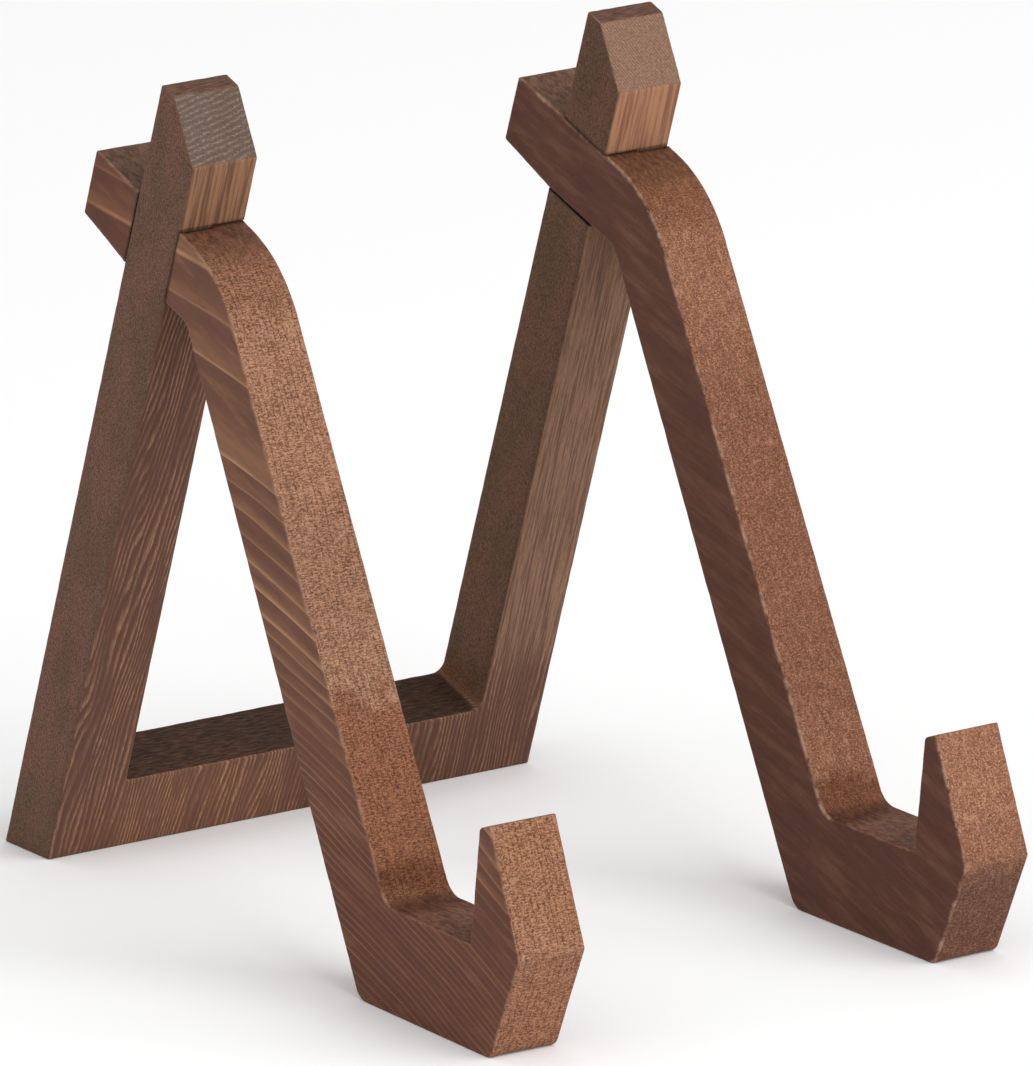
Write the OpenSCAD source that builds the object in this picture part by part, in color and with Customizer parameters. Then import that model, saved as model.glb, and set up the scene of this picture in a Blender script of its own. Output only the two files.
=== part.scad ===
// Plate display stand: a leaning U-shaped frame and two hooked arms that
// cross its uprights in half-lap joints. It knocks down into three pieces.
// X runs across, -Y is the side that faces the viewer, Z is up.

/* [Frame] */
// Width over the two uprights
overall_width = 113.5; // [80:0.5:180]
// Length of an upright's head, above the arm
head_length = 24.2; // [18:0.1:32]
// Width of an upright, and thickness of an arm, so that both lie flush
bar_width = 15; // [12:0.5:20]
// Thickness of the board that the frame is cut from
board_depth = 14.5; // [12:0.1:18]
// Height of the crossbar along its front face
crossbar_height = 15.6; // [12:0.5:24]
// Angle that the frame leans forward from upright
lean = 19; // [14:0.1:23]
// Size of the slanting cut across the front of each upright's top
head_cut = 10.1; // [6:0.1:11.5]
// Radius of the frame's inner corner on the left
left_corner = 0.8; // [0.5:0.1:6]
// Radius of the frame's inner corner on the right
right_corner = 2.5; // [0.5:0.1:6]

/* [Joint] */
// Distance along an upright from the table to the underside of its notch
joint_height = 128.2; // [100:0.1:160]
// Height of the arm's stub where it fills the notch
stub_height = 15.6; // [13:0.1:18]
// Height of the stub at its end, behind the upright
stub_end_height = 14.1; // [11:0.1:18]
// Length of stub that stands out behind the upright
stub_reach = 15.8; // [8:0.1:20]
// Gap on each side of a half-lap
fit_gap = 0.25; // [0.1:0.05:0.5]
// Angle that each arm opens outward from square
toe_out = 1; // [0:0.1:1.5]

/* [Arm] */
// Angle between the stub and the arm's long straight
arm_bend = 43.8; // [36:0.1:53]
// Length of straight top edge in front of the upright
shoulder_flat = 3; // [0.5:0.1:6]
// Radius of the shoulder's outer curve
shoulder_radius = 28; // [16:0.5:34]
// Width of the arm just under the shoulder
arm_width = 15.6; // [13:0.1:20]
// Radius of the bend under the shoulder
under_radius = 4; // [1:0.5:8]

/* [Hook] */
// Height of the slot's floor above the table
slot_floor = 20.7; // [14:0.1:28]
// Width of the slot along its floor
slot_width = 28.5; // [20:0.1:36]
// Radius where the arm runs into the slot's floor
slot_radius = 5; // [2:0.5:7]
// Height of the hook's tip above the table
hook_height = 45.4; // [38:0.1:60]
// Angle that the hook's inner face leans forward
hook_lean = 7.5; // [0:0.1:12]
// Thickness of the hook at its tip
tip_thickness = 3.4; // [2:0.1:8]
// Fall of the tip towards the slot
tip_fall = 1.3; // [0:0.1:2]
// Thickness of the hook at its elbow
elbow_thickness = 16.3; // [10:0.1:22]
// Height of the elbow above the table
elbow_height = 21.5; // [16:0.1:30]
// Distance that the toe stands back from the elbow
toe_setback = 9.6; // [0:0.1:14]
// Length of the arm's foot from toe to heel
foot_length = 44.4; // [34:0.1:52]
// Radius of the round at the toe
toe_round = 2.5; // [0.5:0.1:4]
// Radius of the round at the heel
heel_round = 3.5; // [0.5:0.1:5]
// Radius of the round on the slot side of the tip
tip_round = 1.2; // [0.4:0.1:1.4]

/* [Hidden] */
$fn = 128;
cut_over = 1; // how far a cutting shape runs past what it cuts
wood_frame = [0.35, 0.23, 0.18];
wood_arm = [0.47, 0.28, 0.20];

upright_x = (overall_width - bar_width) / 2; // middle of an upright
upright_length = joint_height + stub_height + head_length; // along its front face

// An arm's outline is drawn from the side: [distance forward, height].
up_dir = [sin(lean), cos(lean)];
stub_dir = [cos(lean), -sin(lean)];
arm_slope = lean + arm_bend;

stub_high = (joint_height + stub_height) * up_dir - (board_depth + stub_reach) * stub_dir;
stub_low = stub_high - stub_end_height * up_dir;
// The stub keeps its full height up to the back of the upright.
stub_back = joint_height * up_dir - (board_depth + fit_gap) * stub_dir;

// Corner where the stub's top edge and the arm's front edge would meet.
shoulder_tangent = shoulder_radius * tan(arm_bend / 2);
shoulder = (joint_height + stub_height) * up_dir
    + (shoulder_flat + shoulder_tangent) * stub_dir;
// Corner under the shoulder, one arm width behind the front edge.
under = shoulder - stub_height * up_dir
    - (arm_width - stub_height * cos(arm_bend)) / sin(arm_bend) * stub_dir;

slot_back = [shoulder[0] + (shoulder[1] - slot_floor) / tan(arm_slope), slot_floor];
slot_front = slot_back + [slot_width, 0];
tip_back = slot_front + (hook_height - tip_fall - slot_floor) * [tan(hook_lean), 1];
tip_front = [tip_back[0] + tip_thickness, hook_height];
elbow = [slot_front[0] + elbow_thickness, elbow_height];
toe = [elbow[0] - toe_setback, 0];
heel = [toe[0] - foot_length, 0];

// How far forward the middle of the half-lap lies, where an arm turns outward.
turn_at = (joint_height + stub_height / 2) * up_dir[0] - board_depth / 2 * stub_dir[0];
front_most = turn_at + (elbow[0] - turn_at) * cos(toe_out) + bar_width / 2 * sin(toe_out);
rear_most = -board_depth / cos(lean);
// The origin is the middle of the whole stand's footprint.
middle = (front_most + rear_most) / 2;

function unit(v) = v / norm(v);

// Sliver between a sharp corner c and the round of radius r that replaces it,
// where p and n are the outline's points before and after the corner.
module corner_sliver(p, c, n, r) {
    u = unit(p - c);
    v = unit(n - c);
    half = acos(u * v) / 2;
    inward = unit(u + v);
    difference() {
        polygon([c - inward * cut_over / 10, c + u * r / tan(half), c + v * r / tan(half)]);
        translate(c + inward * r / sin(half)) circle(r);
    }
}

// The arm as seen from the side.
module arm_outline() {
    difference() {
        union() {
            polygon([stub_low, stub_high, shoulder, slot_back, slot_front, tip_back,
                     tip_front, elbow, toe, heel, under, stub_back]);
            corner_sliver(shoulder, slot_back, slot_front, slot_radius);
            corner_sliver(heel, under, stub_back, under_radius);
        }
        corner_sliver(stub_high, shoulder, slot_back, shoulder_radius);
        corner_sliver(slot_front, tip_back, tip_front, tip_round);
        corner_sliver(elbow, toe, heel, toe_round);
        corner_sliver(toe, heel, under, heel_round);
    }
}

// Leans a shape forward, from the board's own directions to the table's.
module leaning() {
    rotate([lean, 0, 0]) children();
}

// A blank arm, its middle plane at x = 0, before its half-lap is cut.
module arm_blank() {
    translate([bar_width / 2, 0, 0])
        rotate([90, 0, -90])
            linear_extrude(bar_width) arm_outline();
}

// Arm on one side: side is -1 for the left one and 1 for the right one.
module arm(side) {
    color(wood_arm)
    translate([side * upright_x, middle, 0])
    difference() {
        translate([0, -turn_at, 0])
            rotate([0, 0, side * toe_out])
                translate([0, turn_at, 0]) arm_blank();
        // The outer half makes way for the upright.
        leaning()
            translate([side > 0 ? 0 : -bar_width, -fit_gap, joint_height - stub_height])
                cube([bar_width, board_depth + 2 * fit_gap, 3 * stub_height]);
    }
}

// The frame's U as seen square to its board: [across, up along the board].
module frame_outline() {
    inner = overall_width / 2 - bar_width;
    below = -board_depth;
    low_left = [-inner, crossbar_height];
    low_right = [inner, crossbar_height];
    high_left = [-inner, upright_length + cut_over];
    high_right = [inner, upright_length + cut_over];
    difference() {
        translate([-overall_width / 2, below])
            square([overall_width, upright_length - below]);
        difference() {
            polygon([low_left, low_right, high_right, high_left]);
            corner_sliver(high_left, low_left, low_right, left_corner);
            corner_sliver(low_left, low_right, high_right, right_corner);
        }
    }
}

// The frame's board as seen from the side: [back from its front face, up].
module board_side() {
    polygon([[0, 0], [0, upright_length - head_cut], [head_cut, upright_length],
             [board_depth, upright_length], [board_depth, -board_depth * tan(lean)]]);
}

module rear_frame() {
    color(wood_frame)
    translate([0, middle, 0])
    leaning()
    difference() {
        intersection() {
            translate([0, board_depth + cut_over, 0])
                rotate([90, 0, 0])
                    linear_extrude(board_depth + 2 * cut_over) frame_outline();
            translate([-overall_width / 2 - cut_over, 0, 0])
                rotate([90, 0, 90])
                    linear_extrude(overall_width + 2 * cut_over) board_side();
        }
        // The inner half of each upright makes way for an arm's stub.
        for (side = [-1, 1])
            translate([side * upright_x - (side > 0 ? bar_width : 0), -cut_over,
                       joint_height - fit_gap])
                cube([bar_width, board_depth + 2 * cut_over, stub_height + 2 * fit_gap]);
    }
}

module arm_left() {
    arm(-1);
}

module arm_right() {
    arm(1);
}

rear_frame();
arm_left();
arm_right();
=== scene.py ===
import bmesh
import bpy
import math
import numpy as np
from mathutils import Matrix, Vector, bvhtree, geometry, kdtree, noise


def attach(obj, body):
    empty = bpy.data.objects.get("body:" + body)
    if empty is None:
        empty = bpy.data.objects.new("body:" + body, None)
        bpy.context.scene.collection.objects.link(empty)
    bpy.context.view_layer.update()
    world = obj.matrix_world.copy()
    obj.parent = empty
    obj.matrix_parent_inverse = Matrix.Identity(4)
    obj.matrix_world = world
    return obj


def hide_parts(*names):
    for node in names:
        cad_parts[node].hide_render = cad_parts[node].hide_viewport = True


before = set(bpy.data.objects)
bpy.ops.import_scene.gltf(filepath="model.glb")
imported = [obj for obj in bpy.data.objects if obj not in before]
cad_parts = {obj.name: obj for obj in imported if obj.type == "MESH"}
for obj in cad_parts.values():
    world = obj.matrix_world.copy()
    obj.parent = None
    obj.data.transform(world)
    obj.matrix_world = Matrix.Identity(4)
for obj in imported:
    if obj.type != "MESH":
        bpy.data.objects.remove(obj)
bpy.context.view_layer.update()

# ---------------------------------------------------------------------------
# The rear frame: one softwood board sawn to a U, with the grain running up its
# legs and up the crossbar alike. The outer edges are eased with sandpaper, the
# notches for the arms are left crisp, and the board is stained walnut brown.

FRAME_MESH = 0.56e-3  # spacing of the frame's mesh points
FRAME_ARRIS = 0.4e-3  # width of a sanded edge
WELD = 0.03e-3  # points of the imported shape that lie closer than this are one
FLAT = math.radians(0.3)  # faces that meet at less than this are one flat face
CURVED = math.radians(0.5)  # and between this and a sharp edge they are one curve
SHARP = math.radians(20)
SHADED_SHARP = math.radians(50)
SAW_LINE = 0.84e-3  # spacing of the saw's lines on the slanting cuts
SAW_DEPTH = 0.04e-3
SAW_WANDER = 1.6e-3  # how far a line strays from straight
LEFT_TILT = -0.16  # how steeply the lines run across each head
RIGHT_TILT = 1.3
JOINT_GAP = 0.7e-3  # wood closer than this to its neighbour belongs to the joint
ON_TABLE = 0.3e-3  # wood lower than this stands on the table and isn't worn
LEAN = math.radians(19)  # the board leans forward by this much
MM = 1000  # millimetres to a metre: the finishes are laid out in millimetres
CUT_TALL = 12  # mm from the board's top down past the slanting cuts
HEAD_TALL = 24.6  # mm from the board's top down to the arms
BOARD_TOP = max(
    v.co.z * math.cos(LEAN) - v.co.y * math.sin(LEAN)
    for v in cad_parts["rear_frame"].data.vertices
)
BOARD_FRONT = min(
    v.co.y * math.cos(LEAN) + v.co.z * math.sin(LEAN)
    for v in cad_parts["rear_frame"].data.vertices
)


def plain_shape(node):
    """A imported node's shape with its flat faces whole."""
    shape = bmesh.new()
    shape.from_mesh(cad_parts[node].data)
    bmesh.ops.remove_doubles(shape, verts=shape.verts, dist=WELD)
    bmesh.ops.dissolve_degenerate(shape, edges=shape.edges, dist=WELD)
    bmesh.ops.dissolve_limit(shape, angle_limit=FLAT, verts=shape.verts, edges=shape.edges)
    return shape


def tree_of(points):
    """A tree for finding the nearest of some points."""
    tree = kdtree.KDTree(len(points))
    for i, point in enumerate(points):
        tree.insert(point, i)
    tree.balance()
    return tree


def points_along(edges, spacing):
    """Points that lie along the edges."""
    points = []
    for edge in edges:
        start, end = (v.co for v in edge.verts)
        steps = max(1, round((end - start).length / spacing))
        points += [start.lerp(end, i / steps) for i in range(steps + 1)]
    return points


def even_mesh(shape, spacing):
    """Points and triangles of an even mesh that lies on the shape's flat faces."""
    by_cuts = {}
    for edge in shape.edges:
        by_cuts.setdefault(int(edge.calc_length() / spacing), []).append(edge)
    for cuts, edges in by_cuts.items():
        if cuts:
            bmesh.ops.bisect_edges(shape, edges=edges, cuts=cuts)
    shape.verts.index_update()
    points = [v.co.copy() for v in shape.verts]
    triangles = []
    row_height = spacing * math.sqrt(3) / 2
    for face in shape.faces:
        rim = [v.index for v in face.verts]
        turn = face.normal.to_track_quat("Z", "Y").to_matrix()
        flat = [turn.transposed() @ points[i] for i in rim]
        height = sum(p.z for p in flat) / len(flat)
        left, right = min(p.x for p in flat), max(p.x for p in flat)
        bottom, top = min(p.y for p in flat), max(p.y for p in flat)
        near = tree_of([(p.x, p.y, 0) for p in flat])
        places = [p.xy for p in flat]
        for row in range(1, int((top - bottom) / row_height) + 1):
            y = bottom + row * row_height
            for column in range(int((right - left) / spacing) + 1):
                x = left + (column + row % 2 / 2) * spacing
                if near.find((x, y, 0))[2] > 0.7 * spacing:
                    places.append(Vector((x, y)))
        found, _, pieces, origins, _, _ = geometry.delaunay_2d_cdt(
            places, [], [list(range(len(rim)))], 1, 1e-9
        )
        made = {}
        for corner in sorted({c for piece in pieces for c in piece}):
            known = [o for o in origins[corner] if o < len(rim)]
            if known:
                made[corner] = rim[known[0]]
            else:
                made[corner] = len(points)
                points.append(turn @ Vector((*found[corner], height)))
        triangles += [[made[c] for c in piece] for piece in pieces]
    return points, triangles


def rounded_facets(points, triangles, soft, from_edge, reach=3e-3, edge=0.8e-3, rounds=40):
    """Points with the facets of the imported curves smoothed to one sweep, short of the edges.

    Only points within reach of a facet's line and further than edge from an edge move.
    """
    at = np.array(points)
    if not soft:
        return at
    near = tree_of(soft)
    weight = np.array([max(0, 1 - near.find(p)[2] / reach) for p in points])
    weight = (weight * (np.array(from_edge) > edge))[:, None]
    corners = np.array(triangles)
    pairs = np.concatenate([corners[:, [0, 1]], corners[:, [1, 2]], corners[:, [2, 0]]])
    count = np.bincount(pairs[:, 0], minlength=len(at))[:, None]
    for _ in range(rounds):
        around = np.stack(
            [np.bincount(pairs[:, 0], at[pairs[:, 1], i], len(at)) for i in range(3)], 1
        )
        at = at + weight * 0.5 * (around / count - at)
    return at


def eased_piece(name, node, neighbours, spacing, arris):
    """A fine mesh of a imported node, its outer edges eased and its joint's edges crisp.

    Each point keeps three distances for the wear: how far it lies from the nearest
    outer edge, from the nearest edge between a front and a left face, and from the
    wood that crosses it in the joint.
    """
    shape = plain_shape(node)
    joints = [
        bvhtree.BVHTree.FromPolygons(
            [v.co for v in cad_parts[n].data.vertices],
            [p.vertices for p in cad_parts[n].data.polygons],
        )
        for n in neighbours
    ]

    def to_joint(point):
        return min(tree.find_nearest(point)[3] for tree in joints)

    sharp, soft, torn = [], [], []
    for edge in shape.edges:
        angle = edge.calc_face_angle(0)
        if angle > SHARP:
            if not all(to_joint(v.co) < JOINT_GAP for v in edge.verts):
                sharp.append(edge)
                normals = [face.normal for face in edge.link_faces]
                if min(n.x for n in normals) < -0.9 and min(n.y for n in normals) < -0.3:
                    torn.append(edge)
        elif angle > CURVED:
            soft.append(edge)
    sharp_tree = tree_of(points_along(sharp, spacing / 2))
    torn_tree = tree_of(points_along(torn, spacing / 2))
    soft_points = points_along(soft, spacing)
    bmesh.ops.bevel(
        shape, geom=sharp, offset=arris, segments=2, profile=0.5, affect="EDGES"
    )
    points, triangles = even_mesh(shape, spacing)
    shape.free()
    distances = {
        "from_edge": [sharp_tree.find(p)[2] for p in points],
        "from_torn": [torn_tree.find(p)[2] for p in points],
        "to_joint": [to_joint(p) for p in points],
    }
    points = rounded_facets(points, triangles, soft_points, distances["from_edge"])
    mesh = bpy.data.meshes.new(name)
    mesh.from_pydata(points.tolist(), [], triangles)
    closed = bmesh.new()
    closed.from_mesh(mesh)
    bmesh.ops.holes_fill(closed, edges=closed.edges, sides=6)
    bmesh.ops.triangulate(closed, faces=[f for f in closed.faces if len(f.verts) > 3])
    closed.to_mesh(mesh)
    closed.free()
    mesh.shade_smooth()
    mesh.set_sharp_from_angle(angle=SHADED_SHARP)
    for kind, values in distances.items():
        mesh.attributes.new(kind, "FLOAT", "POINT").data.foreach_set("value", values)
    piece = bpy.data.objects.new(name, mesh)
    bpy.context.collection.objects.link(piece)
    return piece


def worn_down(piece, depth_at):
    """Sinks each point of a piece along its normal by depth_at(place, normal, edge, torn)."""
    mesh = piece.data
    from_edge = mesh.attributes["from_edge"].data
    from_torn = mesh.attributes["from_torn"].data
    to_joint = mesh.attributes["to_joint"].data
    moves = []
    for i, vertex in enumerate(mesh.vertices):
        place, normal = vertex.co, vertex.normal
        if to_joint[i].value < JOINT_GAP or place.z < ON_TABLE:
            moves.append(place.copy())
        else:
            depth = depth_at(place, normal, from_edge[i].value, from_torn[i].value)
            moves.append(place - normal * depth)
    for vertex, place in zip(mesh.vertices, moves):
        vertex.co = place
    mesh.update()


def ragged(place, size, stretch=(1, 1, 1)):
    """Smooth noise from 0 to 1, with lumps of about the size given."""
    p = Vector(place[i] / (size * stretch[i]) for i in range(3))
    return 0.5 + 0.5 * noise.noise(p)


class Finish:
    """A wood finish in the making: each method adds a node and returns its output."""

    def __init__(self, name):
        self.material = bpy.data.materials.new(name)
        self.material.use_nodes = True
        self.tree = self.material.node_tree
        self.shader = self.tree.nodes["Principled BSDF"]
        self.place = self.node(
            "VectorMath", self.source("Object"), None, None, MM, operation="SCALE"
        )
        self.facing = self.source("Normal")

    def node(self, kind, *feeds, out=0, **settings):
        made = self.tree.nodes.new("ShaderNode" + kind)
        for setting, value in settings.items():
            setattr(made, setting, value)
        for socket, feed in zip(made.inputs, feeds):
            if isinstance(feed, bpy.types.NodeSocket):
                self.tree.links.new(feed, socket)
            elif feed is not None:
                socket.default_value = feed
        return made.outputs[out]

    def source(self, which):
        return self.tree.nodes.new("ShaderNodeTexCoord").outputs[which]

    def math(self, how, a, b=None):
        return self.node("Math", a, b, operation=how)

    def part(self, vector, axis):
        return self.node("SeparateXYZ", vector, out="XYZ".index(axis))

    def along(self, direction):
        """How far a face turns towards a direction, from -1 to 1."""
        return self.node("VectorMath", self.facing, direction, operation="DOT_PRODUCT", out=1)

    def turned(self, vector, angle):
        return self.node("Mapping", vector, None, (angle, 0, 0))

    def noise(self, vector, per_mm, detail=2, rough=0.5):
        """Noise with its own fineness along each axis of the vector."""
        scaled = self.node("Mapping", vector, None, None, per_mm)
        return self.node("TexNoise", scaled, None, 1, detail, rough)

    def step(self, value, low, high, lowest=0, highest=1):
        """A soft step: lowest up to low, highest from high on."""
        return self.node(
            "MapRange", value, low, high, lowest, highest, interpolation_type="SMOOTHSTEP"
        )

    def mix(self, amount, under, over, how="MIX"):
        made = self.tree.nodes.new("ShaderNodeMix")
        made.data_type = "RGBA"
        made.blend_type = how
        for socket, feed in zip([made.inputs[i] for i in (0, 6, 7)], (amount, under, over)):
            if isinstance(feed, bpy.types.NodeSocket):
                self.tree.links.new(feed, socket)
            else:
                socket.default_value = feed if isinstance(feed, (int, float)) else (*feed, 1)
        return made.outputs[2]

    def patch(self, colour, spot, size, tint, amount, soft=0.35):
        """Tints the colour round a spot, as stain or as painted shade; spot and size are in mm,
        and the outline is ragged.
        """
        rag = self.math("SUBTRACT", self.noise(self.place, (0.25, 0.25, 0.25), 3), 0.5)
        offset = self.node("VectorMath", self.place, spot, operation="SUBTRACT")
        scaled = self.node("VectorMath", offset, size, operation="DIVIDE")
        far = self.node("VectorMath", scaled, operation="LENGTH", out=1)
        ragged_far = self.math("ADD", far, self.math("MULTIPLY", rag, 0.9))
        mask = self.step(ragged_far, 1 - soft, 1 + soft, amount, 0)
        return self.mix(mask, colour, tint, "MULTIPLY")

    def worn_edge(self, colour, light, amount, which="from_edge", width=0.6e-3, often=0.6):
        """Lightens the arrises, where the sandpaper or the saw has gone through the stain."""
        edge = self.node("Attribute", attribute_name=which, out=2)
        broken = self.noise(self.place, (often, often, often), 3, 0.6)
        near = self.step(edge, 0.1e-3, width, 1, 0)
        worn = self.math("MULTIPLY", near, self.step(broken, 0.4, 0.62, 0, amount))
        return self.mix(worn, colour, light)

    def dark_joint(self, colour):
        """Darkens the wood beside a joint, where the stain has run in and stayed."""
        gap = self.node("Attribute", attribute_name="to_joint", out=2)
        return self.mix(
            self.step(gap, 0.25e-3, 0.9e-3, 0.8, 0), colour, (0.25, 0.22, 0.22), "MULTIPLY"
        )

    def done(self, colour, relief, roughness):
        """Feeds the shader and returns the material."""
        self.tree.links.new(colour, self.shader.inputs["Base Color"])
        self.tree.links.new(roughness, self.shader.inputs["Roughness"])
        bump = self.node("Bump", 0.55, 0.12e-3, None, relief)
        self.tree.links.new(bump, self.shader.inputs["Normal"])
        self.shader.inputs["Specular IOR Level"].default_value = 0.15
        return self.material


def frame_finish():
    """Flat-sawn grain on the face, speckled edges, dark end grain across the crossbar, and
    painted shade on the right leg's inner face.
    """
    f = Finish("frame_wood")
    board = f.turned(f.place, -LEAN)
    across, back, height = (f.part(board, axis) for axis in "XYZ")
    up = (0, -math.sin(LEAN), math.cos(LEAN))
    ends = f.math("ABSOLUTE", f.along(up))
    sides = f.math("ABSOLUTE", f.part(f.facing, "X"))
    right_leg = f.step(across, -1, 1)

    # Growth rings: wavy along the grain, which runs a little off the left leg's line.
    askew = f.math("MULTIPLY", height, f.step(across, 0, 45, 0.12, 0))
    sway = f.noise(board, (0.07, 0.05, 0.014), 2)
    ripple = f.noise(board, (0.4, 0.4, 0.06), 2)
    depth = f.math("MULTIPLY", f.math("SUBTRACT", across, askew), 0.75)
    depth = f.math("ADD", depth, back)
    depth = f.math("ADD", depth, f.math("MULTIPLY", sway, 8.0))
    depth = f.math("ADD", depth, f.math("MULTIPLY", ripple, 1.1))
    ring = f.math("FRACT", f.math("DIVIDE", depth, 0.78))
    late = f.math("MULTIPLY", f.step(ring, 0.3, 0.85), f.step(ring, 0.88, 1.0, 1, 0))
    strength = f.step(f.noise(board, (0.35, 0.35, 0.05), 2), 0.35, 0.62, 0.25, 1)
    fibre = f.noise(board, (5.0, 5.0, 0.6), 4, 0.7)
    strength = f.math("MULTIPLY", strength, f.step(fibre, 0.3, 0.62, 0.3, 1))
    late = f.math("MULTIPLY", late, strength)
    streak = f.noise(board, (1.9, 1.9, 0.07), 3, 0.65)
    speckle = f.noise(board, (3.6, 3.6, 2.4), 4, 0.75)
    blotch = f.noise(board, (0.12, 0.12, 0.06), 3)

    face = f.mix(late, (0.118, 0.053, 0.036), (0.36, 0.19, 0.108))
    face = f.mix(f.step(streak, 0.35, 0.6, 0.4, 0), face, (0.072, 0.036, 0.025))
    straight = f.mix(f.step(streak, 0.36, 0.62), (0.125, 0.066, 0.042), (0.27, 0.15, 0.092))
    straight = f.mix(f.math("MULTIPLY", late, 0.3), straight, (0.33, 0.185, 0.11))
    leg = f.math("MULTIPLY", f.step(across, 38, 44), f.step(height, -2, 8))
    face = f.mix(leg, face, straight)
    face = f.mix(f.step(fibre, 0.35, 0.65, 0.4, 0), face, (0.075, 0.035, 0.024))

    edge = f.mix(f.step(speckle, 0.33, 0.67), (0.062, 0.028, 0.02), (0.205, 0.096, 0.065))
    edge = f.mix(f.step(blotch, 0.42, 0.62), edge, (0.8, 0.9, 0.8), "MULTIPLY")
    from_front = f.math("SUBTRACT", back, BOARD_FRONT * MM)
    rim = f.math("ADD", from_front, f.math("MULTIPLY", blotch, 5.0))
    edge = f.mix(f.step(rim, 2.5, 5.0, 0.6, 0), edge, (0.72, 0.82, 0.72), "MULTIPLY")
    # Painted shade: the right leg's inner face, which faces the left leg, is painted darker and
    # cooler.
    inner_face_shade = f.math("MULTIPLY", right_leg, f.step(f.along((-1, 0, 0)), 0.6, 0.8))
    edge = f.mix(inner_face_shade, edge, (0.86, 0.84, 0.74), "MULTIPLY")

    rows = f.noise(board, (0.35, 3.2, 0.5), 3, 0.65)
    end = f.mix(f.step(rows, 0.38, 0.66), (0.021, 0.0088, 0.005), (0.068, 0.033, 0.019))
    crown = f.mix(f.step(rows, 0.36, 0.66), (0.06, 0.028, 0.018), (0.15, 0.074, 0.048))
    end = f.mix(f.step(height, BOARD_TOP * MM - 3, BOARD_TOP * MM - 2), end, crown)

    colour = f.mix(f.step(sides, 0.6, 0.85), face, edge)
    colour = f.mix(f.step(ends, 0.8, 0.95), colour, end)

    # The slanting cuts across the heads show the saw's lines.
    left_lines = f.math("ADD", height, f.math("MULTIPLY", across, LEFT_TILT))
    right_lines = f.math("ADD", height, f.math("MULTIPLY", across, RIGHT_TILT))
    lines = f.node("Mix", right_leg, None, left_lines, right_lines)
    wander = f.noise(board, (0.16, 0.16, 0.16), 3)
    lines = f.math("ADD", lines, f.math("MULTIPLY", wander, SAW_WANDER * MM))
    lines = f.math("PINGPONG", lines, SAW_LINE * MM / 2)
    broken = f.noise(board, (1.6, 3.2, 3.2), 4, 0.75)
    scored = f.math("MULTIPLY", f.step(lines, 0.12, 0.4, 0.25, 1), f.step(broken, 0.36, 0.62))
    cut_left = f.mix(scored, (0.092, 0.06, 0.046), (0.215, 0.155, 0.124))
    cut_left = f.mix(f.step(blotch, 0.35, 0.65, 0, 0.5), cut_left, (0.85, 0.78, 0.7), "MULTIPLY")
    cut_right = f.mix(scored, (0.15, 0.078, 0.05), (0.30, 0.18, 0.125))
    cut = f.mix(right_leg, cut_left, cut_right)
    slanting = f.math("MULTIPLY", f.step(ends, 0.5, 0.62), f.step(ends, 0.8, 0.92, 1, 0))
    near_top = f.step(height, BOARD_TOP * MM - CUT_TALL, BOARD_TOP * MM - CUT_TALL + 1)
    colour = f.mix(f.math("MULTIPLY", slanting, near_top), colour, cut)

    # The faces of the heads below those cuts took the least stain.
    front = f.step(f.along((0, -math.cos(LEAN), -math.sin(LEAN))), 0.8, 0.95)
    head = f.step(height, BOARD_TOP * MM - HEAD_TALL, BOARD_TOP * MM - HEAD_TALL + 0.4)
    bands = f.noise(board, (1.25, 0.3, 0.05), 3, 0.6)
    pale = f.mix(right_leg, (0.235, 0.118, 0.062), (0.335, 0.162, 0.088))
    ruddy = f.mix(right_leg, (0.118, 0.054, 0.033), (0.195, 0.086, 0.051))
    pale_head = f.mix(f.step(bands, 0.38, 0.6), ruddy, pale)
    colour = f.mix(f.math("MULTIPLY", front, head), colour, pale_head)

    colour = f.patch(colour, (-24, BOARD_FRONT * MM, 2), (24, 30, 15), (1.3, 1.25, 1.13), 0.9)
    colour = f.patch(colour, (28, 82, 18), (24, 9, 8), (0.9, 0.78, 0.55), 1)
    colour = f.patch(colour, (34, BOARD_FRONT * MM, 0), (34, 30, 16), (0.88, 0.85, 0.82), 1)
    colour = f.worn_edge(colour, (0.22, 0.13, 0.085), 0.2)
    colour = f.dark_joint(colour)
    relief = f.math("ADD", f.math("MULTIPLY", fibre, 0.5), f.math("MULTIPLY", speckle, 0.4))
    relief = f.math("ADD", relief, f.math("MULTIPLY", late, 0.35))
    return f.done(colour, relief, f.step(fibre, 0.3, 0.7, 0.62, 0.8))


def frame_wear(place, normal, edge, torn):
    """Saw lines on the slanting cuts, and edges that wander a little."""
    depth = 0.03e-3 * ragged(place, 1.1e-3, (1, 1, 5))
    depth += 0.1e-3 * ragged(place, 3e-3) ** 2 * max(0, 1 - edge / 0.9e-3)
    up = normal.z * math.cos(LEAN) - normal.y * math.sin(LEAN)
    if 0.5 < up < 0.9:
        tilt = LEFT_TILT if place.x < 0 else RIGHT_TILT
        height = place.z * math.cos(LEAN) - place.y * math.sin(LEAN)
        line = (height + tilt * place.x + SAW_WANDER * ragged(place, 6e-3)) / SAW_LINE
        depth += SAW_DEPTH * (0.5 + 0.5 * math.sin(2 * math.pi * line))
    return depth


rear_frame = eased_piece(
    "rear_frame_wood", "rear_frame", ["arm_left", "arm_right"], FRAME_MESH, FRAME_ARRIS
)
worn_down(rear_frame, frame_wear)
rear_frame.data.materials.append(frame_finish())
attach(rear_frame, "frame")
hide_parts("rear_frame")

# ---------------------------------------------------------------------------
# The left arm: a J sawn from a softwood board, with the grain dipping forward.
# The stain has left pale stripes along the growth rings of its broad side, and
# a coppery speckle where its narrow faces cut across the grain.

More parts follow.
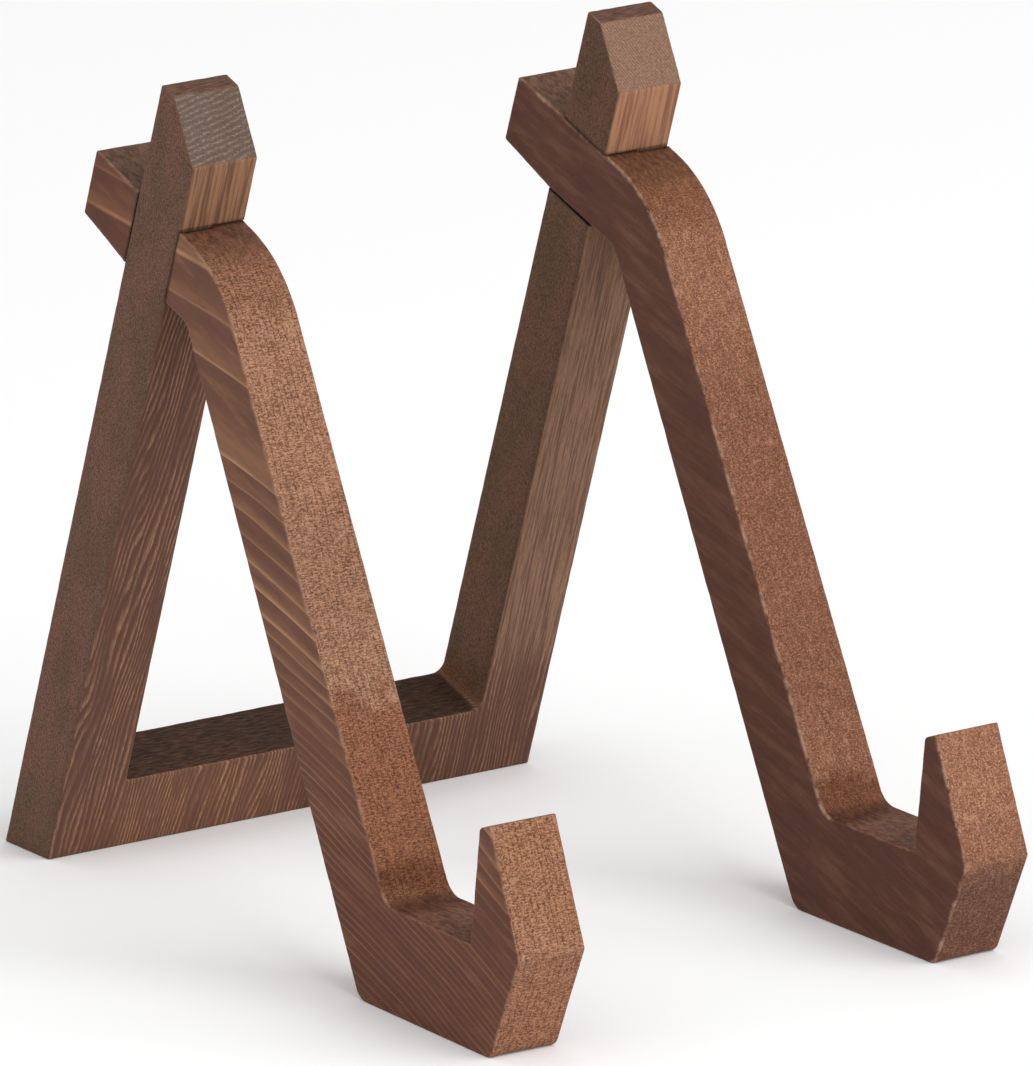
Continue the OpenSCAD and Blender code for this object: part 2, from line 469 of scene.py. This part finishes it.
ARM_MESH = 0.45e-3
ARM_ARRIS = 0.35e-3
GRAIN_TURN = math.radians(72)  # the grain's turn from the level
RINGS_BACK = 0.225  # how fast the growth rings are crossed going back and going down
RINGS_DOWN = -0.97
RINGS_BEND = -0.0016
RINGS_PER_MM = 0.123  # at the shoulder, and how this changes from each level down
RINGS_CLOSER = ((-107, -0.062), (-91, 0.179), (-66, 0.12), (-50, 0.26))


def arm_finish(
    name, tones, ends, stripes, mottling, copper_tones, tramlines, torn, patches
):
    """One arm's stain and painted shade: stripes on its broad sides, speckled copper on its
    narrow faces, and painted shade on its level faces and in the slot's inner corner.

    The tones are dark, middle and light, and ends tints the foot and the stub. stripes,
    mottling, tramlines and torn say how strongly the growth rings, the cloudy grain, the
    lengthwise rows of ticks and the torn edge show, from 0 to 1. Patches tint the narrow
    faces: (spot, size, tint, amount) and perhaps the softness of the outline.
    """
    f = Finish(name)
    board = f.turned(f.place, GRAIN_TURN)
    back, height = f.part(f.place, "Y"), f.part(f.place, "Z")
    broad = f.step(f.math("ABSOLUTE", f.part(f.facing, "X")), 0.55, 0.85)
    upward = f.part(f.facing, "Z")

    # The grain dips to the front, more steeply at the hook than at the shoulder.
    bend = f.math("MULTIPLY", f.math("MULTIPLY", back, back), RINGS_BEND)
    down = f.math("MULTIPLY", back, RINGS_BACK)
    down = f.math("ADD", down, f.math("MULTIPLY", height, RINGS_DOWN))
    down = f.math("ADD", down, bend)
    sway = f.math("SUBTRACT", f.noise(board, (0.03, 0.03, 0.014), 2), 0.5)
    down = f.math("ADD", down, f.math("MULTIPLY", sway, 6.0))

    # Growth rings lie far apart near the shoulder and close together at the foot.
    rings = f.math("ADD", f.math("MULTIPLY", down, RINGS_PER_MM), 0.168)
    for level, closer in RINGS_CLOSER:
        below = f.math("MAXIMUM", f.math("SUBTRACT", down, level), 0)
        rings = f.math("ADD", rings, f.math("MULTIPLY", below, closer))
    uneven = f.node("TexNoise", None, down, 0.3, 2, noise_dimensions="1D")
    rings = f.math("ADD", rings, f.math("MULTIPLY", f.math("SUBTRACT", uneven, 0.5), 0.3))
    ring = f.math("FRACT", rings)
    chance = f.node("TexWhiteNoise", None, f.math("FLOOR", rings), noise_dimensions="1D")
    width = f.step(down, -95, -55, 0.1, 0.33)
    rise = f.step(ring, f.math("SUBTRACT", 0.97, width), 0.96)
    line = f.math("MULTIPLY", rise, f.step(ring, 0.965, 1.0, 1, 0))
    line = f.math("MULTIPLY", line, f.step(chance, 0.0, 0.8, 0.35, 1))
    faint = f.step(f.noise(board, (0.12, 0.12, 0.035), 2), 0.35, 0.6, 0.4, 1)
    line = f.math("MULTIPLY", line, f.math("MULTIPLY", faint, stripes))
    line = f.math("MULTIPLY", line, f.step(down, -75, -45, 1, 0.55))
    glow = f.math("MULTIPLY", f.step(ring, 0.3, 1.0), f.step(ring, 0.97, 1.0, 1, 0))
    glow = f.math("MULTIPLY", f.math("MULTIPLY", glow, f.step(chance, 0, 0.7, 0.4, 1)), stripes)
    glow = f.math("MULTIPLY", glow, f.step(down, -75, -50, 1, 0.3))

    fibre = f.noise(board, (4.0, 4.0, 0.3), 3, 0.6)
    cloud = f.noise(board, (0.35, 0.35, 0.06), 4, 0.6)
    dark, middle, light = tones
    side = f.mix(glow, dark, middle)
    side = f.mix(f.step(cloud, 0.4, 0.65, 0, mottling), side, (0.72, 0.76, 0.8), "MULTIPLY")
    side = f.mix(f.step(cloud, 0.5, 0.3, 0, mottling), side, middle)
    side = f.mix(line, side, light)
    side = f.mix(f.step(fibre, 0.3, 0.7, 0.35, 0), side, (0.66, 0.64, 0.62), "MULTIPLY")
    at_ends = f.math("MAXIMUM", f.step(height, 22, 55, 1, 0), f.step(back, 28, 36))
    side = f.mix(at_ends, side, ends, "MULTIPLY")

    # Cut across the grain, the wood takes the stain in ticks, in rows along the cut.
    grainy = f.noise(f.place, (2.6, 3.2, 3.2), 4, 0.7)
    ticks = f.noise(f.place, (0.9, 4.2, 4.2), 3, 0.6)
    strokes = f.noise(f.place, (1.1, 0.45, 0.45), 4, 0.7)
    wander = f.noise(f.place, (0.1, 0.06, 0.06), 2)
    row = f.math("ADD", f.part(f.place, "X"), f.math("MULTIPLY", wander, 2.5))
    row = f.step(f.math("PINGPONG", row, 0.62), 0.0, 0.3, 1, 0)
    patchy = f.noise(f.place, (0.3, 0.12, 0.12), 3)
    row = f.math("MULTIPLY", row, f.step(patchy, 0.36, 0.56, 0.25, 1))
    row = f.math("MULTIPLY", row, f.step(ticks, 0.35, 0.7, 1, 0.45))

    dark, middle, light = copper_tones
    copper = f.mix(f.step(strokes, 0.34, 0.5, 0.55, 0), middle, dark)
    copper = f.mix(f.step(strokes, 0.52, 0.68, 0, 0.6), copper, light)
    copper = f.mix(f.step(ticks, 0.4, 0.68, 0, tramlines), copper, light)
    copper = f.mix(f.math("MULTIPLY", row, tramlines), copper, dark)
    copper = f.mix(f.step(grainy, 0.51, 0.62, 0, 0.9), copper, light)
    copper = f.mix(f.step(grainy, 0.35, 0.48, 0.65, 0), copper, dark)
    # Faces that look up, the slot floors and the stub tops, are painted darker and greyer:
    # partly for their end grain, and on the slot floors partly as painted shade from the hook
    # and the arm.
    level = f.mix(f.step(strokes, 0.36, 0.64), (0.085, 0.035, 0.021), (0.175, 0.08, 0.047))
    copper = f.mix(f.step(upward, 0.72, 0.97), copper, level)
    for patch in patches:
        copper = f.patch(copper, *patch)

    colour = f.mix(broad, copper, side)
    colour = f.worn_edge(colour, (0.30, 0.175, 0.115), 0.35)
    colour = f.worn_edge(colour, (0.40, 0.255, 0.18), torn, "from_torn", 0.9e-3, 0.25)
    colour = f.dark_joint(colour)
    relief = f.math("ADD", f.math("MULTIPLY", fibre, 0.3), f.math("MULTIPLY", grainy, 0.5))
    relief = f.math("ADD", relief, f.math("MULTIPLY", ticks, 0.4))
    return f.done(colour, relief, f.step(grainy, 0.3, 0.7, 0.6, 0.78))


def arm_wear(chipped):
    """How deep an arm is worn; chipped is how far in its front left edge is torn."""

    def depth_at(place, normal, edge, torn):
        depth = 0.03e-3 * ragged(place, 0.9e-3)
        depth += 0.1e-3 * ragged(place, 3e-3) ** 2 * max(0, 1 - edge / 0.9e-3)
        if torn < chipped:
            bite = max(0, ragged((0, place.y, place.z), 1.3e-3) - 0.42) * 4
            often = max(0, min(1, ragged((9e-3, place.y, place.z), 9e-3) * 4 - 1.2))
            depth += 0.55 * max(0, chipped * min(bite, 1) * often - torn)
        return depth

    return depth_at


def place_arm(side, body, finish, chipped):
    """Makes one arm on its body."""
    node = "arm_" + side
    piece = eased_piece(node + "_wood", node, ["rear_frame"], ARM_MESH, ARM_ARRIS)
    worn_down(piece, arm_wear(chipped))
    piece.data.materials.append(finish)
    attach(piece, body)
    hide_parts(node)


left_finish = arm_finish(
    "arm_left_stain_and_shade",
    tones=((0.15, 0.063, 0.039), (0.25, 0.119, 0.064), (0.385, 0.205, 0.112)),
    ends=(0.8, 0.71, 0.7),
    stripes=1,
    mottling=0.5,
    copper_tones=((0.071, 0.026, 0.0135), (0.15, 0.06, 0.031), (0.41, 0.215, 0.127)),
    tramlines=0.85,
    torn=0.25,
    patches=(
        ((-50, -13, 70), (40, 22, 20), (0.88, 0.89, 0.9), 0.9),
        ((-50, -25, 60), (40, 20, 9), (1.1, 1.14, 1.16), 0.8),
        ((-50, -28, 37), (40, 26, 18.5), (0.7, 0.54, 0.44), 0.9, 0.12),
        ((-50, 16, 133), (30, 22, 11), (0.72, 0.66, 0.6), 0.8),
        ((-50, 50, 145), (30, 14, 14), (0.8, 0.93, 1.05), 0.9),
        ((-50, -78, 33), (30, 12, 14), (0.96, 0.9, 0.82), 0.9),
        # Painted shade: a dark reddish spot in the slot's inner corner, where the arm's front
        # meets the slot floor.
        ((-50, -44, 21), (30, 7, 7), (0.62, 0.52, 0.45), 0.9),
        ((-50, -83, 10), (30, 12, 12), (1.0, 0.9, 0.86), 0.9),
    ),
)
place_arm("left", "left_arm", left_finish, chipped=0.6e-3)

# ---------------------------------------------------------------------------
# The right arm: a second J from a darker, plainer board. Its broad side shows
# only a faint slanting mottle, and the saw tore its front left edge.

right_finish = arm_finish(
    "arm_right_stain_and_shade",
    tones=((0.116, 0.0445, 0.0275), (0.166, 0.077, 0.049), (0.205, 0.103, 0.066)),
    ends=(0.9, 0.87, 0.88),
    stripes=0.15,
    mottling=0.7,
    copper_tones=((0.079, 0.027, 0.0135), (0.162, 0.062, 0.031), (0.37, 0.184, 0.107)),
    tramlines=0.3,
    torn=0.6,
    patches=(
        ((50, -15, 65), (30, 30, 42), (0.8, 0.74, 0.74), 0.9),
        ((50, -76, 33), (30, 10, 14), (1.2, 1.22, 1.26), 0.9),
        ((50, 14, 134), (30, 18, 10), (0.7, 0.62, 0.48), 0.8),
        ((50, 50, 145), (30, 14, 14), (0.98, 1.12, 1.15), 0.9),
        # Painted shade: a dark reddish spot in the slot's inner corner, where the arm's front
        # meets the slot floor.
        ((50, -44, 21), (30, 7, 7), (0.62, 0.5, 0.42), 0.9),
        ((50, -85, 8), (30, 8, 13), (0.56, 0.56, 0.66), 0.9),
    ),
)
place_arm("right", "right_arm", right_finish, chipped=1.0e-3)

# ---------------------------------------------------------------------------
# The studio: a pale floor, a broad soft light in front of the stand and to the
# right, a weak one on the left, and a long lens some way off. None of it is
# part of the stand.

FLOOR = 3.0  # half the floor's width
TURN = math.radians(-35)  # the camera stands this far round to the left
RISE = math.radians(16)  # and looks down by this much
FAR = 3.134  # distance from the camera to what it aims at
AIM = Vector((0.00016, -0.0033, 0.0745))
LENS = 555.7  # mm, for a film 36 mm wide
FILM = 36
SKY = 0.76  # strength of the light from all round


def soft_light(name, place, size, power):
    """A square light that faces the stand."""
    lamp = bpy.data.lights.new(name, "AREA")
    lamp.size = size
    lamp.energy = power
    holder = bpy.data.objects.new(name, lamp)
    holder.location = place
    holder.rotation_euler = (AIM - Vector(place)).to_track_quat("-Z", "Y").to_euler()
    bpy.context.collection.objects.link(holder)


paper = bpy.data.materials.new("paper")
paper.use_nodes = True
paper_shader = paper.node_tree.nodes["Principled BSDF"]
paper_shader.inputs["Base Color"].default_value = (0.9, 0.9, 0.9, 1)
paper_shader.inputs["Roughness"].default_value = 0.9
sheet = bpy.data.meshes.new("floor")
corners = [(-FLOOR, -FLOOR, 0), (FLOOR, -FLOOR, 0), (FLOOR, FLOOR, 0), (-FLOOR, FLOOR, 0)]
sheet.from_pydata(corners, [], [(0, 1, 2, 3)])
sheet.materials.append(paper)
floor = bpy.data.objects.new("floor", sheet)
bpy.context.collection.objects.link(floor)

soft_light("front_light", (0.7, -2.3, 1.9), size=3.0, power=76)
soft_light("left_light", (-2.2, -0.2, 1.2), size=1.6, power=6)
world = bpy.data.worlds.new("studio")
world.use_nodes = True
sky = world.node_tree.nodes["Background"]
sky.inputs["Color"].default_value = (1, 1, 1, 1)
sky.inputs["Strength"].default_value = SKY
bpy.context.scene.world = world
bpy.context.scene.view_settings.view_transform = "Standard"

lens = bpy.data.cameras.new("camera")
lens.lens = LENS
lens.sensor_width = FILM
camera = bpy.data.objects.new("camera", lens)
away = Vector(
    (math.sin(TURN) * math.cos(RISE), -math.cos(TURN) * math.cos(RISE), math.sin(RISE))
)
camera.location = AIM + FAR * away
camera.rotation_euler = (math.radians(90) - RISE, 0, TURN)
bpy.context.collection.objects.link(camera)
bpy.context.scene.camera = camera
